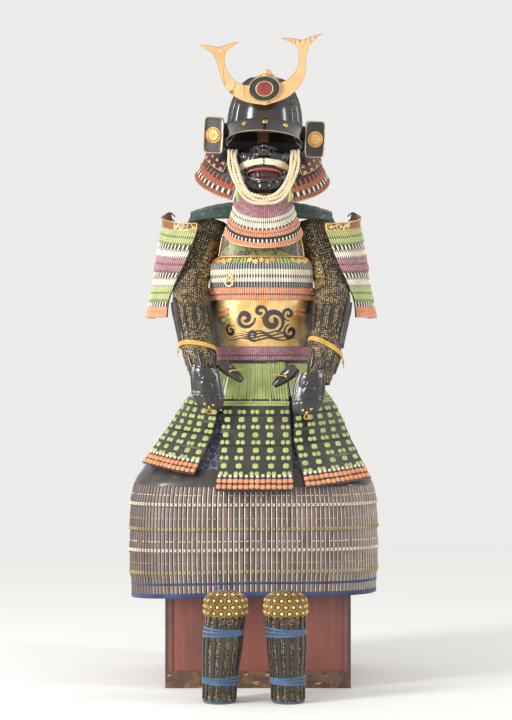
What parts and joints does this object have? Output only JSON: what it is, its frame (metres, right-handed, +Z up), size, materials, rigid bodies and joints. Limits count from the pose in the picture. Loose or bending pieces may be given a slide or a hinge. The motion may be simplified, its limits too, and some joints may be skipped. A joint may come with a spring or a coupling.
{
  "type": "samurai armour on its storage chest and stand",
  "caption": "Laced armour with horned helmet, face mask, sleeves, tassets, thigh and shin guards, set up on a plain stand over its lacquered storage chest.",
  "frame": {"origin": "centre of the storage chest's footprint, on the floor", "axes": "+X to the viewer's right, +Y away from the viewer, +Z up; the armour faces -Y"},
  "size_m": [0.636, 0.6857, 1.6378],
  "materials": {
    "black_lacquer": "glossy black-brown lacquer on iron",
    "red_lacquer": "worn red-brown lacquer on wood",
    "gilt_brass": "worn gilding",
    "gold_leather": "gilt leather, darkened at its edges",
    "patterned_leather": "patterned and gilt leather",
    "green_lace": "faded yellow-green silk lacing on black lacquered lames",
    "orange_lace": "faded orange silk lacing on black lacquered lames",
    "purple_lace": "faded purple silk lacing",
    "white_lace": "cream silk",
    "teal_cloth": "teal brocade",
    "indigo_cloth": "patterned indigo cloth",
    "splint_cloth": "cloth set with small lacquered plates",
    "mail": "fine brown mail with lacquered splints, on cloth",
    "hexagon_padding": "quilted hexagons",
    "stand_wood": "plain oiled wood"
  },
  "bodies": {
    "armour": {"chest_body": "red_lacquer", "chest_lid": "red_lacquer", "armour_stand": "stand_wood", "cuirass_upper_rows": "orange_lace", "cuirass_belly": "gold_leather", "cuirass_waist_rows": "purple_lace", "cuirass_chest_rows": "white_lace", "breast_plate": "patterned_leather", "cuirass_back_rows": "orange_lace", "back_plate": "patterned_leather", "shoulder_strap_left": "patterned_leather", "shoulder_strap_right": "patterned_leather", "shoulder_wing_left": "teal_cloth", "shoulder_wing_right": "teal_cloth", "ring_staple": "gilt_brass", "tasset_front": "green_lace", "tasset_front_left": "green_lace", "tasset_front_right": "green_lace", "tasset_side_left": "green_lace", "tasset_side_right": "green_lace", "tasset_back_left": "green_lace", "tasset_back_right": "green_lace", "thigh_guard_left": "splint_cloth", "thigh_guard_right": "splint_cloth", "thigh_guard_cloth": "indigo_cloth", "sleeve_left": "mail", "sleeve_right": "mail", "hand_guard_left": "black_lacquer", "hand_guard_right": "black_lacquer", "thumb_guard_left": "black_lacquer", "thumb_guard_right": "black_lacquer", "shoulder_crown_left": "gilt_brass", "shoulder_crown_right": "gilt_brass", "shoulder_lames_left": "green_lace", "shoulder_lames_right": "green_lace", "helmet_bowl": "black_lacquer", "crown_fitting": "gilt_brass", "visor": "black_lacquer", "neck_guard_1": "black_lacquer", "neck_guard_2": "black_lacquer", "neck_guard_3": "orange_lace", "turn_back_left": "black_lacquer", "turn_back_right": "black_lacquer", "crest_prong": "gilt_brass", "face_mask": "black_lacquer", "moustache": "white_lace", "lower_lip": "red_lacquer", "throat_guard_1": "purple_lace", "throat_guard_2": "white_lace", "throat_guard_3": "orange_lace", "throat_guard_4": "orange_lace", "chin_cord": "white_lace", "shin_guard_left": "mail", "shin_guard_right": "mail", "knee_guard_left": "hexagon_padding", "knee_guard_right": "hexagon_padding"},
    "crest": {"crest_horns": "gilt_brass", "crest_disc": "black_lacquer"},
    "baton_ring": {"baton_ring": "gilt_brass"}
  },
  "joints": [
    {"name": "crest_lift", "type": "slide", "parent": "armour", "child": "crest", "axis": [-0.0873, -0.2238, 0.9707], "range_m": [0, 0.06]},
    {"name": "baton_ring_hinge", "type": "hinge", "parent": "armour", "child": "baton_ring", "pos_m": [-0.07429, -0.09997, 1.03], "axis": [-0.8871, 0.4617, 0], "range_deg": [-6, 120]}
  ]
}
